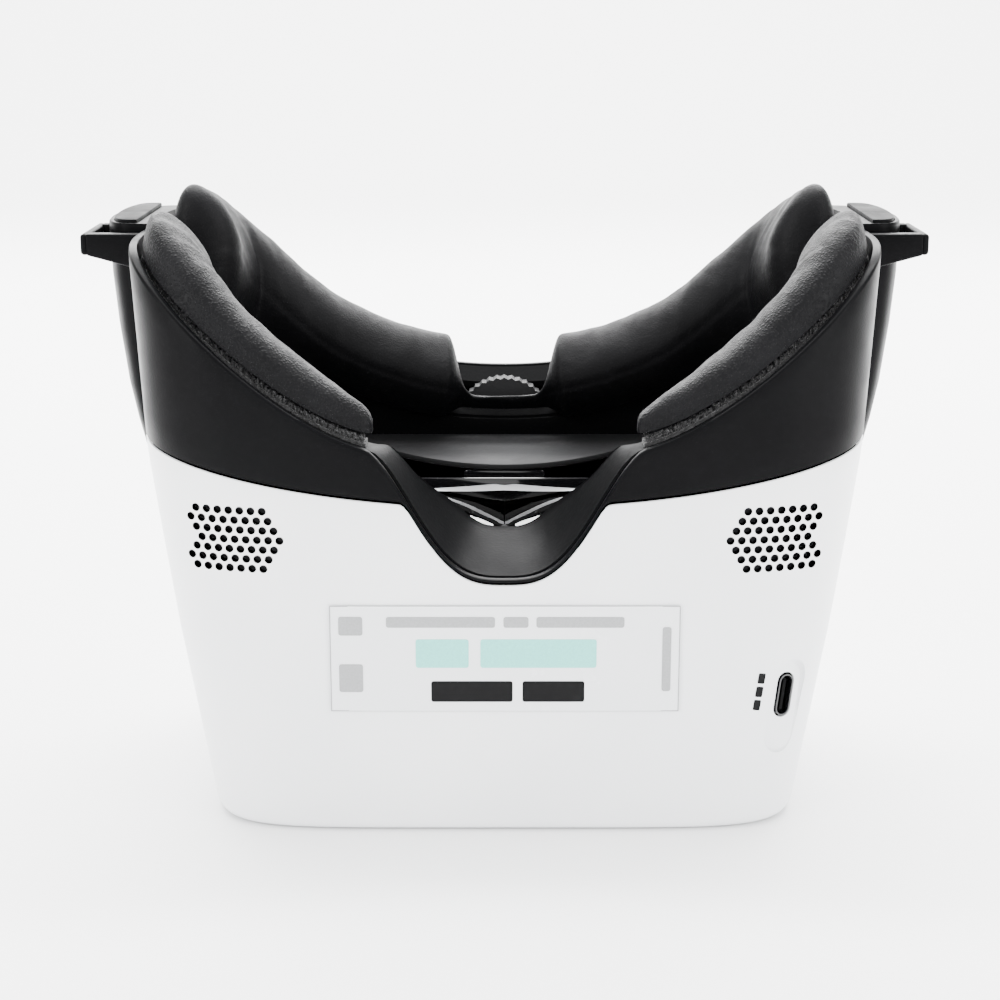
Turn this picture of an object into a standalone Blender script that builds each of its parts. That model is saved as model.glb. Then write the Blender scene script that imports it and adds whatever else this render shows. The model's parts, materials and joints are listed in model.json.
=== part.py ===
"""FPV goggles standing on their front face, with the eye side up.

X runs left to right across the face, +Y points to the forehead side and +Z to the wearer.
Sizes inside the functions are millimetres; every mesh is scaled to metres as it is made.
"""

import math

import bmesh
import bpy
from mathutils import Matrix, Vector

MM = 0.001
GAP = 0.3                    # clearance between pieces that touch
FRAME_SHIFT_Y = -2.15        # puts the middle of the overall depth on the origin

# Housing outline: a superellipse whose size and squareness change with height.
BASE_HALF_WIDTH = 62.4
SIDE_TAPER = 0.174
SHOULDER_Z = 78.0            # above it the sides run almost straight up
UPPER_TAPER = 0.055
BASE_HALF_DEPTH = 47.2
DEPTH_TAPER = 0.017
BASE_SQUARENESS = 6.2
TOP_SQUARENESS = 4.6
SQUARE_TO_Z = 40.0
SHELL_WALL = 2.2
REAR_WALL = 2.0
FLOOR_Z = 3.8                # inside of the front wall

# Seam between the two shells, and the black lip that borders the nose notch.
SEAM_Z = 70.3
SEAM_RISE = 0.00185
SEAM_SIDE_DROP = 18.0
NOSE_LIP = 0.7
SEAM_GAP = 0.5

# Face contour that the rim, the flange and the pads follow.
CHEEK_Z = 81.5
CHEEK_RISE = 0.1
FOREHEAD_Z = 82.0
FOREHEAD_RISE = 39.0
TEMPLE_X = 79.0
NOSE_DEPTH = 26.7
NOSE_HALF_WIDTH = 28.5
NEAR_Y = -48.5
FOREHEAD_DROP = 10.6         # the forehead flange leans in by this much

# Strap pillars and loops at the temples.
PILLAR_Y = 17.0
PILLAR_HALF_LENGTH = 19.0
PILLAR_PROFILE = ((66.5, 74.6), (68.5, 78.8), (72, 81.2), (78, 82.8), (86, 84.6), (99, 86.4),
                  (110, 87.4), (121.6, 87.8))
CAP_TOP_Z = 122.4
CAP_INNER_X = 79.4
LOOP_TIP_X = 91.2
LOOP_BAR_X = 89.4
LOOP_Z = (115.2, 119.8)
LOOP_ROOT_Z = 111.7
LOOP_ARM = 3.4
LOOP_Y = (-6.0, 16.0)

# Focus drive: a thumbwheel whose pinion moves the lens carriage along Z.
WHEEL_CENTRE = (0.0, 40.2, 68.5)
WHEEL_RADIUS = 11.8
WHEEL_RIBS = 40
PINION_TEETH = 12
GEAR_MODULE = 0.5
PINION_Y = (43.3, 45.6)
CARRIAGE_Z = (52.0, 56.0)
LENS_CENTRE = (28.0, 4.0)
LENS_RADIUS = 30.0
GUIDE_ROD = (60.0, 5.0)
GUIDE_ROD_RADIUS = 1.4

# Ventilation, port, controls.
GRILLE_CENTRE = (54.4, 62.9)
GRILLE_ROWS = (7, 8, 8, 8, 8, 8, 7)
GRILLE_PITCH = 2.3
GRILLE_ROW_STEP = 2.0
GRILLE_HOLE_RADIUS = 0.62
USB_AT = (58.7, 28.4)
USB_TURN = math.radians(24)
USB_TILT = math.radians(8)
FAN_CENTRE = (-50.0, -36.9, 53.4)
FAN_SIDE = 20.0
FAN_DEPTH = 6.0
JOYSTICK_AT = (42.0, 38.0)
BUTTON_X = {"record_button": -36.0, "link_button": -48.0}
BUTTON_Z = 38.0
BUTTON_RADIUS = 3.6
ANTENNA_JACK_X = (-50.0, 50.0)
ANTENNA_JACK_Z = 17.0
POWER_JACK_AT = (0.0, 16.0)

NOSE_ANGLE = 25              # stations are closer together across the nose


# ---------------------------------------------------------------- scene helpers

def clear_scene():
    for old in list(bpy.data.objects):
        bpy.data.objects.remove(old)


def collection(name):
    made = bpy.data.collections.new(name)
    bpy.context.scene.collection.children.link(made)
    return made


def material(name, colour, roughness, metallic=0.0, alpha=1.0):
    made = bpy.data.materials.new(name)
    made.use_nodes = True
    shader = made.node_tree.nodes["Principled BSDF"]
    shader.inputs["Base Color"].default_value = (*colour, 1.0)
    shader.inputs["Roughness"].default_value = roughness
    shader.inputs["Metallic"].default_value = metallic
    shader.inputs["Alpha"].default_value = alpha
    return made


def add_object(name, bm, finish, smooth=False):
    """Turns millimetre geometry into a named object of the goggles, in metres."""
    bmesh.ops.transform(bm, matrix=Matrix.Translation((0, FRAME_SHIFT_Y, 0)), verts=bm.verts)
    bmesh.ops.scale(bm, vec=(MM, MM, MM), verts=bm.verts)
    bmesh.ops.recalc_face_normals(bm, faces=bm.faces)
    mesh = bpy.data.meshes.new(name)
    bm.to_mesh(mesh)
    bm.free()
    if smooth:
        mesh.shade_smooth()
        mesh.set_sharp_from_angle(angle=math.radians(35))
    made = bpy.data.objects.new(name, mesh)
    made.data.materials.append(MATERIALS[finish])
    PARTS.objects.link(made)
    return made


def apply_boolean(target, bm, operation="DIFFERENCE"):
    """Cuts, joins or clips the target with millimetre geometry."""
    name = f"{operation.lower()}_{target.name}"
    tool = add_object(name, bm, "black_plastic")
    PARTS.objects.unlink(tool)
    CUTTERS.objects.link(tool)
    tool.hide_render = True
    tool.display_type = "WIRE"
    modifier = target.modifiers.new(name, "BOOLEAN")
    modifier.operation = operation
    modifier.solver = "EXACT"
    modifier.object = tool
    bpy.context.view_layer.update()
    evaluated = target.evaluated_get(bpy.context.evaluated_depsgraph_get())
    mesh = bpy.data.meshes.new_from_object(evaluated)
    target.modifiers.remove(modifier)
    target.data = mesh
    bpy.data.objects.remove(tool)


def set_origin(target, point):
    """Moves the object's origin to a point in millimetres, without moving the shape."""
    place = Vector((point[0], point[1] + FRAME_SHIFT_Y, point[2])) * MM
    target.data.transform(Matrix.Translation(-place))
    target.location = place


# ---------------------------------------------------------------- mesh helpers

def skin(rings, closed=False):
    """Joins rings of equal point counts; open ends are capped, closed ones meet."""
    bm = bmesh.new()
    loops = [[bm.verts.new(point) for point in ring] for ring in rings]
    pairs = list(zip(loops, loops[1:]))
    if closed:
        pairs.append((loops[-1], loops[0]))
    for lower, upper in pairs:
        for i in range(len(lower)):
            j = (i + 1) % len(lower)
            bm.faces.new((lower[i], lower[j], upper[j], upper[i]))
    if not closed:
        bm.faces.new(loops[0])
        bm.faces.new(loops[-1])
    return bm


def box(low, high):
    bm = bmesh.new()
    bmesh.ops.create_cube(bm, size=1.0)
    size = [b - a for a, b in zip(low, high)]
    middle = [(a + b) / 2 for a, b in zip(low, high)]
    bmesh.ops.scale(bm, vec=size, verts=bm.verts)
    bmesh.ops.translate(bm, vec=middle, verts=bm.verts)
    return bm


def cylinder(centre, radius, start, end, axis="Z", sides=24, top_radius=None):
    """A closed cylinder or cone between two heights along an axis."""
    bm = bmesh.new()
    bmesh.ops.create_cone(bm, cap_ends=True, segments=sides, radius1=radius,
                          radius2=radius if top_radius is None else top_radius,
                          depth=end - start)
    bmesh.ops.translate(bm, vec=(0, 0, (start + end) / 2), verts=bm.verts)
    if axis == "Y":
        bmesh.ops.rotate(bm, matrix=Matrix.Rotation(-math.pi / 2, 3, "X"), verts=bm.verts)
        bmesh.ops.translate(bm, vec=(centre[0], 0, centre[1]), verts=bm.verts)
    else:
        bmesh.ops.translate(bm, vec=(centre[0], centre[1], 0), verts=bm.verts)
    return bm


def prism(points, low, high, axis="Z"):
    """A flat outline pushed straight from low to high along Z or along Y."""
    if axis == "Z":
        return skin([[(x, y, low) for x, y in points], [(x, y, high) for x, y in points]])
    return skin([[(x, low, z) for x, z in points], [(x, high, z) for x, z in points]])


def turned(profile, sides=20):
    """Rings of a turned solid about Z from (radius, z) pairs."""
    steps = [2 * math.pi * k / sides for k in range(sides)]
    return skin([[(r * math.cos(a), r * math.sin(a), z) for a in steps] for r, z in profile])


def placed(bm, matrix):
    bmesh.ops.transform(bm, matrix=matrix, verts=bm.verts)
    return bm


def merged(*shapes):
    """Several separate solids in one mesh, for use as one cutter."""
    total = bmesh.new()
    for bm in shapes:
        mesh = bpy.data.meshes.new("merge")
        bm.to_mesh(mesh)
        bm.free()
        total.from_mesh(mesh)
        bpy.data.meshes.remove(mesh)
    return total


def mirrored_x(bm):
    bmesh.ops.scale(bm, vec=(-1, 1, 1), verts=bm.verts)
    bmesh.ops.reverse_faces(bm, faces=bm.faces)
    return bm


def rounded_rectangle(half_x, half_y, radius, steps=4):
    points = []
    for k, (sx, sy) in enumerate(((1, 1), (-1, 1), (-1, -1), (1, -1))):
        for i in range(steps + 1):
            a = math.pi / 2 * (k + i / steps)
            points.append((sx * (half_x - radius) + radius * math.cos(a),
                           sy * (half_y - radius) + radius * math.sin(a)))
    return points


# ---------------------------------------------------------------- housing surfaces

def smooth_step(t):
    t = min(1.0, max(0.0, t))
    return t * t * (3 - 2 * t)


def half_width(z):
    return BASE_HALF_WIDTH + SIDE_TAPER * min(z, SHOULDER_Z) + UPPER_TAPER * max(0, z - SHOULDER_Z)


def squareness(z):
    share = min(1.0, max(0.0, (z - SQUARE_TO_Z) / (SHOULDER_Z - SQUARE_TO_Z)))
    return BASE_SQUARENESS + (TOP_SQUARENESS - BASE_SQUARENESS) * share


def outline(angle, z, inset=0.0):
    """Point of the housing's outer surface in a direction, moved inwards by inset."""
    w, d, n = half_width(z), BASE_HALF_DEPTH + DEPTH_TAPER * z, squareness(z)
    c, s = math.cos(angle), math.sin(angle)
    r = (abs(c / w) ** n + abs(s / d) ** n) ** (-1 / n)
    x, y = r * c, r * s
    gx = math.copysign(abs(x / w) ** (n - 1) / w, x)
    gy = math.copysign(abs(y / d) ** (n - 1) / d, y)
    length = math.hypot(gx, gy)
    return x - inset * gx / length, y - inset * gy / length


def surface_y(x, z, side=-1, inset=0.0):
    """Depth of the near (-1) or far (1) wall at a place on it."""
    w, d, n = half_width(z) - inset, BASE_HALF_DEPTH + DEPTH_TAPER * z - inset, squareness(z)
    return side * d * (1 - min(0.999, abs(x / w)) ** n) ** (1 / n)


def side_x(y, z, inset=0.0):
    w, d, n = half_width(z), BASE_HALF_DEPTH + DEPTH_TAPER * z, squareness(z)
    return w * (1 - abs(y / d) ** n) ** (1 / n) - inset


def stations():
    """Directions around the housing, closer together across the nose."""
    nose = [-90 - NOSE_ANGLE + 2.5 * k for k in range(int(2 * NOSE_ANGLE / 2.5))]
    rest = 360 - 2 * NOSE_ANGLE
    count = round(rest / 4.8)
    others = [-90 + NOSE_ANGLE + rest * k / count for k in range(count)]
    return [math.radians(a) for a in nose + others]


def face_height(x, y):
    """Height of the face contour: cheeks and nose on the near side, forehead on the far."""
    cheek = CHEEK_Z + CHEEK_RISE * max(0.0, abs(x) - 25) ** 1.5
    inwards = min(30.0, y - NEAR_Y)
    depth = NOSE_DEPTH - 0.293 * inwards
    width = NOSE_HALF_WIDTH - 0.442 * inwards
    cheek -= depth * (1 - smooth_step((abs(x) / width) ** 1.55))
    forehead = FOREHEAD_Z + FOREHEAD_RISE * (abs(x) / TEMPLE_X) ** 2.2
    share = smooth_step((y + 20) / 40)
    return cheek * (1 - share) + forehead * share


def rim_height(angle):
    z = 100.0
    for _ in range(8):
        z = face_height(*outline(angle, z))
    return z


def seam_height(angle):
    z = 75.0
    for _ in range(8):
        x, y = outline(angle, z)
        side = smooth_step((abs(x) - 54) / 6) * smooth_step((33 - abs(y - PILLAR_Y)) / 12)
        z = SEAM_Z + SEAM_RISE * x * x - SEAM_SIDE_DROP * side
    return z


def shell_joint(angle):
    """Lower edge of the black shell: the seam, or the lip's foot along the nose notch."""
    seam, lip = seam_height(angle), rim_height(angle) - NOSE_LIP
    blend = 2.0
    h = min(1.0, max(0.0, 0.5 + 0.5 * (lip - seam) / blend))
    return lip * (1 - h) + seam * h - blend * h * (1 - h)


def flange_width(x, y):
    """How far the face flange reaches in from the outer surface."""
    near = 9.5 + 2.5 * smooth_step((abs(x) - 24) / 20) + 12.0 * math.exp(-(x / 15) ** 4)
    return near + (13.0 - near) * smooth_step((y + 15) / 30)


def flange_point(angle, share, lift=0.0, start=2.4, extra=0.0):
    """Point on the flange, from its outer edge (share 0) to its inner edge (share 1)."""
    rim = rim_height(angle)
    x, y = outline(angle, rim)
    width = flange_width(x, y) + extra
    inset = start + share * (width - start)
    x, y = outline(angle, rim, inset)
    lean = FOREHEAD_DROP * smooth_step((y - 2) / 26) * (inset - 2.4) / (width - 2.4)
    return Vector((x, y, face_height(x, y) - 0.5 - lean + lift))


# ---------------------------------------------------------------- shells

def front_shell():
    angles = stations()
    tops = [shell_joint(a) - SEAM_GAP for a in angles]

    def level(inset, z):
        return [(*outline(a, z, inset), z) for a in angles]

    def below_top(inset, share):
        heights = [SQUARE_TO_Z + (top - SQUARE_TO_Z) * share for top in tops]
        return [(*outline(a, z, inset), z) for a, z in zip(angles, heights)]

    rings = [level(7.0, 1.8), level(7.0, 0.0), level(2.2, 0.0), level(0.6, 0.6), level(0.0, 2.2),
             level(0.0, SQUARE_TO_Z), below_top(0.0, 0.5), below_top(0.0, 1.0),
             below_top(SHELL_WALL, 1.0), below_top(SHELL_WALL, 0.5),
             level(SHELL_WALL, SQUARE_TO_Z), level(SHELL_WALL, FLOOR_Z)]
    shell = add_object("front_shell", skin(rings), "white_plastic", smooth=True)
    bosses = merged(*[cylinder(at, 3.0, FLOOR_Z - 1.0, 8.0, sides=16) for at in BOARD_SCREWS])
    apply_boolean(shell, bosses, "UNION")
    holes = [cylinder(at, 1.3, 4.4, 9.0, sides=12) for at in BOARD_SCREWS]
    holes += [grille_cutter(1), grille_cutter(-1), usb_cutter()]
    holes += [cylinder(JOYSTICK_AT, 6.0, 40, 56, "Y", 24)]
    holes += [cylinder((x, BUTTON_Z), BUTTON_RADIUS + GAP, 40, 56, "Y", 20)
              for x in BUTTON_X.values()]
    holes += [cylinder((x, ANTENNA_JACK_Z), 3.2 + GAP, 38, 56, "Y", 16) for x in ANTENNA_JACK_X]
    holes += [cylinder(POWER_JACK_AT, 4.0 + GAP, 40, 56, "Y", 20)]
    apply_boolean(shell, merged(*holes))
    return shell


def grille_holes(side):
    """Centres of the vent holes: rows pushed towards the middle form a chevron."""
    points = []
    for row, count in enumerate(GRILLE_ROWS):
        off = row - (len(GRILLE_ROWS) - 1) / 2
        z = GRILLE_CENTRE[1] - off * GRILLE_ROW_STEP
        inner = GRILLE_CENTRE[0] - 8.9 + 1.15 * abs(off)
        for k in range(count):
            points.append((side * (inner + GRILLE_PITCH * k), z))
    return points


def grille_cutter(side):
    return merged(*[cylinder(at, GRILLE_HOLE_RADIUS, -50, -30, "Y", 6) for at in grille_holes(side)])


def usb_frame():
    """Matrix of the port: its local Y is the way the plug comes in, its Z the long side."""
    x, z = USB_AT
    y = surface_y(x, z)
    return (Matrix.Translation((x, y, z)) @ Matrix.Rotation(USB_TURN, 4, "Z")
            @ Matrix.Rotation(USB_TILT, 4, "Y"))


def stadium(half_width_mm, half_length, steps=8):
    """Outline of a slot with round ends, long in its second coordinate."""
    straight = half_length - half_width_mm
    points = []
    for end in (1, -1):
        for k in range(steps + 1):
            a = math.pi * k / steps
            points.append((end * half_width_mm * math.cos(a),
                           end * (straight + half_width_mm * math.sin(a))))
    return points


def usb_cutter():
    recess = prism([(x, z - 2.3) for x, z in stadium(3.8, 10.2)], -6.0, 1.5, "Y")
    passage = prism(stadium(2.0, 4.9), 0.9, 9.0, "Y")
    return merged(placed(union_of(recess, passage), usb_frame()))


def union_of(first, second):
    """One closed shape from two that overlap."""
    base = add_object("union_base", first, "black_plastic")
    apply_boolean(base, second, "UNION")
    bm = bmesh.new()
    bm.from_mesh(base.data)
    bpy.data.objects.remove(base)
    bmesh.ops.scale(bm, vec=(1 / MM, 1 / MM, 1 / MM), verts=bm.verts)
    bmesh.ops.translate(bm, vec=(0, -FRAME_SHIFT_Y, 0), verts=bm.verts)
    return bm


def front_panel():
    ring = [[(*outline(a, z, 7.0 + GAP), z) for a in stations()[::2]] for z in (0.0, 1.5)]
    add_object("front_panel", skin(ring), "gloss_black")


def rear_shell():
    sections = []
    for a in stations():
        foot, rim = shell_joint(a), rim_height(a)
        middle = (foot + rim) / 2
        bevel = min(0.8, 0.35 * (rim - foot))
        profile = [(0, foot), (0, middle), (0, rim - bevel), (0.6, rim), (1.4, rim),
                   (REAR_WALL, rim - 0.75 * bevel), (REAR_WALL, middle), (REAR_WALL, foot)]
        sections.append([(*outline(a, z, inset), z) for inset, z in profile])
    shell = add_object("rear_shell", skin(sections, closed=True), "black_plastic", smooth=True)
    for side in (1, -1):
        apply_boolean(shell, on_side(pillar(), side), "UNION")
        apply_boolean(shell, on_side(strap_loop(), side), "UNION")
        apply_boolean(shell, on_side(cap_shape(0.0, 120.6, 125.0), side))
    return shell


def on_side(bm, side):
    return bm if side > 0 else mirrored_x(bm)


def pillar_ring(z, outer_x, base_inset, shrink=0.0):
    """Half-oval against the side wall, closed along the wall."""
    steps = 12
    half = PILLAR_HALF_LENGTH - shrink
    bulge = outer_x - shrink - side_x(PILLAR_Y, z, base_inset)
    ring = []
    for k in range(steps + 1):
        a = math.pi * k / steps
        y = PILLAR_Y - half * math.cos(a)
        ring.append((side_x(y, z, base_inset) + bulge * math.sin(a) ** 0.5, y, z))
    for k in range(4, -1, -1):
        y = PILLAR_Y - half + 2 * half * k / 4
        ring.append((side_x(y, z, base_inset + 0.9), y, z))
    return ring


def pillar():
    return skin([pillar_ring(z, x, 0.8) for z, x in PILLAR_PROFILE])


def cap_shape(shrink, low, high):
    """The recess in the pillar's top, and with a shrink the plug that fills it."""
    half = PILLAR_HALF_LENGTH - 1.2 - shrink
    inner, reach = CAP_INNER_X + shrink, PILLAR_PROFILE[-1][1] - 1.2 - shrink - CAP_INNER_X - shrink
    turns = [math.pi * k / 16 for k in range(17)]
    ring = [(inner + reach * math.sin(a) ** 0.5, PILLAR_Y - half * math.cos(a)) for a in turns]
    return prism(ring, low, high)


def strap_loop():
    """Two arms and a bar that make the slot for the head strap."""
    low, high = LOOP_Z
    near, far = LOOP_Y[0], LOOP_Y[1] - LOOP_ARM

    def arm(y, root):
        outline_xz = [(root, LOOP_ROOT_Z), (LOOP_BAR_X + 0.6, low), (LOOP_BAR_X + 0.6, high),
                      (root, high)]
        return prism(outline_xz, y, y + LOOP_ARM, "Y")

    middle = ((LOOP_BAR_X + LOOP_TIP_X) / 2, (low + high) / 2)
    section = [(middle[0] + x, middle[1] + z) for x, z in
               rounded_rectangle((LOOP_TIP_X - LOOP_BAR_X) / 2, (high - low) / 2, 0.85, 3)]
    bar = prism(section, near, far + LOOP_ARM, "Y")
    near_arm = arm(near, side_x(near + LOOP_ARM / 2, 116.0, 1.2))
    return union_of(union_of(bar, near_arm), arm(far, 85.0))


def temple_caps():
    for side, name in ((-1, "temple_cap_left"), (1, "temple_cap_right")):
        add_object(name, on_side(cap_shape(GAP, 120.6 + GAP, CAP_TOP_Z), side), "black_plastic")


def faceplate():
    sections = []
    for a in stations():
        top = [flange_point(a, share) for share in (0, 1 / 3, 2 / 3, 1)]
        inner = top[-1]
        hem = Vector((0, 0, -1.8))
        foot = min(64.2, inner.z - 3.0)
        back = flange_point(a, 1, extra=-1.8)
        section = [*top, Vector((inner.x, inner.y, foot)), Vector((back.x, back.y, foot)),
                   back + hem, top[2] + hem, top[1] + hem, top[0] + hem]
        sections.append(section)
    plate = add_object("faceplate", skin(sections, closed=True), "black_plastic", smooth=True)
    apply_boolean(plate, visor_ledge(), "UNION")
    x, y, _ = WHEEL_CENTRE
    apply_boolean(plate, box((x - 12.6, y - 2.8, 60), (x + 12.6, y + 2.8, 95)))
    return plate


def visor_ledge():
    """Crescent shelf under the forehead flange, above the lenses."""
    rings = []
    count = 20
    for k in range(count + 1):
        x = -39.0 + 78.0 * k / count
        near = min(14.0 + 11.0 * (x / 27.0) ** 2, 34.5)
        far = surface_y(x, 68.0, 1, 12.3)
        rings.append([(x, near, ledge_z(near)), (x, far, ledge_z(far)),
                      (x, far, ledge_z(far) - 1.6), (x, near, ledge_z(near) - 1.6)])
    return skin(rings)


def ledge_z(y):
    return 64.7 + 0.108 * (y - 14.0)


# ---------------------------------------------------------------- face pads

PAD_SPANS = {"cheek_left": (-168.0, -121.0), "cheek_right": (-59.0, -12.0),
             "forehead": (6.0, 174.0)}


def span_angles(first, last, step):
    count = round((last - first) / step)
    return [math.radians(first + (last - first) * k / count) for k in range(count + 1)]


def band(angles, low, high, start, end_share, notch=None):
    """A strip lying on the flange between two lifts; notch gives its outer edge by angle."""
    rings = []
    for a in angles:
        begin = start if notch is None else notch(a)
        ring = [flange_point(a, 0, low, begin), flange_point(a, end_share, low, begin),
                flange_point(a, end_share, high, begin), flange_point(a, 0, high, begin)]
        rings.append(ring)
    return skin(rings)


def wheel_notch(angle, outer):
    """Outer edge of the forehead backing and pad: it steps in to clear the thumbwheel."""
    x = abs(outline(angle, FOREHEAD_Z)[0])
    clear = 12.9
    return clear + (outer - clear) * smooth_step((x - 9.5) / 6.0)


def hook_strips():
    spans = {"hook_strip_cheek_left": (-168, -120), "hook_strip_cheek_right": (-60, -12),
             "hook_strip_forehead_left": (106, 170), "hook_strip_forehead_right": (10, 74)}
    for name, (first, last) in spans.items():
        strip = band(span_angles(first, last, 4.0), 0.4, 1.1, 3.3, 0.85)
        add_object(name, strip, "hook_fabric")


def pad_backings():
    for name, (first, last) in PAD_SPANS.items():
        notch = (lambda a: wheel_notch(a, 5.0)) if name == "forehead" else None
        plate = band(span_angles(first, last, 4.0), 2.3, 3.0, 5.0, 1.0, notch)
        add_object(f"pad_backing_{name}", plate, "black_plastic")


def pad_ring(angle, size, thickness, outer):
    """Crowned section of a pad at one direction; size 0 to 1 narrows it near its ends."""
    first = flange_point(angle, 0.5 - 0.5 * size, 3.7, outer)
    second = flange_point(angle, 0.5 + 0.62 * size, 3.7, outer)
    across = second - first
    up = across.cross(Vector((math.sin(angle), -math.cos(angle), 0))).normalized()
    if up.z < 0:
        up = -up
    rise = smooth_step((rim_height(angle) - 90.0) / 24.0)
    up = up.lerp(Vector((0, 0, 1)), 0.65 * rise).normalized()
    thickness += 2.6 * rise
    ring = []
    steps = 7
    for k in range(steps + 1):
        a = math.pi * k / steps
        along = 0.5 - 0.5 * math.cos(a)
        ring.append(first + across * along + up * (thickness * size * math.sin(a) ** 0.7))
    return ring


def face_pads():
    for name, (first, last) in PAD_SPANS.items():
        angles = span_angles(first + 1.0, last - 1.0, 4.0)
        rings = []
        for k, a in enumerate(angles):
            share = k / (len(angles) - 1)
            end = min(share, 1 - share) * (len(angles) - 1)
            size = min(1.0, 0.6 + 0.25 * end)
            outer, thickness = 4.4, 8.5
            if name == "forehead":
                outer = wheel_notch(a, 5.0)
                x = abs(outline(a, FOREHEAD_Z)[0])
                thickness = 4.6 + 8.6 * smooth_step((x - 6.0) / 10.0)
            rings.append(pad_ring(a, size, thickness, outer))
        title = "forehead_pad" if name == "forehead" else name.replace("cheek", "cheek_pad")
        add_object(title, skin(rings), "pad_leather", smooth=True)


# ---------------------------------------------------------------- optics and focus drive

def lens(side):
    """Biconvex lens whose inner edge is cut straight to meet its twin."""
    sides, edge = 32, (52.6, 55.4)
    profile = []
    for share in (0.3, 0.6, 0.85):
        profile.append((LENS_RADIUS * share, edge[0] - 4.0 * (1 - share ** 2)))
    profile += [(LENS_RADIUS, edge[0]), (LENS_RADIUS, edge[1])]
    for share in (0.85, 0.6, 0.3):
        profile.append((LENS_RADIUS * share, edge[1] + 5.4 * (1 - share ** 2)))
    bm = turned(profile, sides)
    bmesh.ops.translate(bm, vec=(side * LENS_CENTRE[0], LENS_CENTRE[1], 0), verts=bm.verts)
    name = "lens_right" if side > 0 else "lens_left"
    made = add_object(name, bm, "lens_glass", smooth=True)
    half = (0.15 - 80, 0.15) if side > 0 else (-0.15, 80 - 0.15)
    apply_boolean(made, box((half[0], -50, 40), (half[1], 50, 70)))
    set_origin(made, (0, 0, CARRIAGE_Z[0]))


def lens_carriage():
    low, high = CARRIAGE_Z
    plate = [(9, -20), (22, -29.5), (52, -29.5), (62.3, -20), (62.3, 24), (50, 37),
             (-50, 37), (-62.3, 24), (-62.3, -20), (-52, -29.5), (-22, -29.5), (-9, -20)]
    made = add_object("lens_carriage", prism(plate, low, high), "black_plastic")
    x, y = LENS_CENTRE
    radius = LENS_RADIUS + GAP
    openings = union_of(cylinder((x, y), radius, 40, 70, sides=40),
                        cylinder((-x, y), radius, 40, 70, sides=40))
    apply_boolean(made, openings)
    rods = [cylinder((s * GUIDE_ROD[0], GUIDE_ROD[1]), GUIDE_ROD_RADIUS + 0.35, 40, 70, sides=16)
            for s in (1, -1)]
    apply_boolean(made, merged(*rods))
    apply_boolean(made, box((3.6, 33.0, 49.8), (9.6, PINION_Y[1], 53.4)), "UNION")
    apply_boolean(made, rack(), "UNION")
    set_origin(made, (0, 0, low))


def rack():
    """Toothed bar beside the pinion; its pitch line is one pinion radius from the axis."""
    pitch = math.pi * GEAR_MODULE
    line = WHEEL_CENTRE[0] + PINION_TEETH * GEAR_MODULE / 2
    tip, root, back = line - 0.35, line + 0.75, line + 4.0
    middle = WHEEL_CENTRE[2]
    points = [(back, 51.0), (root, 51.0)]
    for k in range(-4, 3):
        z = middle + (k + 0.5) * pitch
        points += [(root, z - 0.42), (tip, z - 0.14), (tip, z + 0.14), (root, z + 0.42)]
    points += [(root, 73.4), (back, 73.4)]
    return prism(points, PINION_Y[0], PINION_Y[1], "Y")


def focus_drive():
    x, y, z = WHEEL_CENTRE
    ribs = []
    for k in range(2 * WHEEL_RIBS):
        a = math.pi * k / WHEEL_RIBS
        r = WHEEL_RADIUS - (0.45 if k % 2 else 0.0)
        ribs.append((x + r * math.sin(a), z + r * math.cos(a)))
    wheel = add_object("focus_wheel", prism(ribs, y - 2.2, y + 2.2, "Y"), "black_plastic")
    apply_boolean(wheel, cylinder((x, z), 1.5 + GAP, 30, 50, "Y", 16))
    shaft = add_object("focus_shaft", cylinder((x, z), 1.5, y - 2.3, 45.8, "Y", 16), "steel",
                       smooth=True)
    pitch_radius = PINION_TEETH * GEAR_MODULE / 2
    teeth = []
    for k in range(PINION_TEETH):
        a = math.pi / 2 + 2 * math.pi * k / PINION_TEETH
        for r, turn in ((-0.7, -0.15), (0.35, -0.05), (0.35, 0.05), (-0.7, 0.15)):
            radius = pitch_radius + r
            teeth.append((x + radius * math.sin(a + turn), z + radius * math.cos(a + turn)))
    pinion = add_object("focus_pinion", prism(teeth, *PINION_Y, "Y"), "brass")
    apply_boolean(pinion, cylinder((x, z), 1.5 + GAP, 30, 50, "Y", 16))
    for piece in (wheel, shaft, pinion):
        set_origin(piece, WHEEL_CENTRE)


def guide_rods():
    for side, name in ((-1, "guide_rod_left"), (1, "guide_rod_right")):
        at = (side * GUIDE_ROD[0], GUIDE_ROD[1])
        rod = cylinder(at, GUIDE_ROD_RADIUS, 16.3, 62.5, sides=16)
        add_object(name, rod, "steel", smooth=True)


# ---------------------------------------------------------------- display and electronics

BOARD_SCREWS = [(sx * 44.0, sy * 26.0) for sx in (-1, 1) for sy in (-1, 1)]


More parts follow.
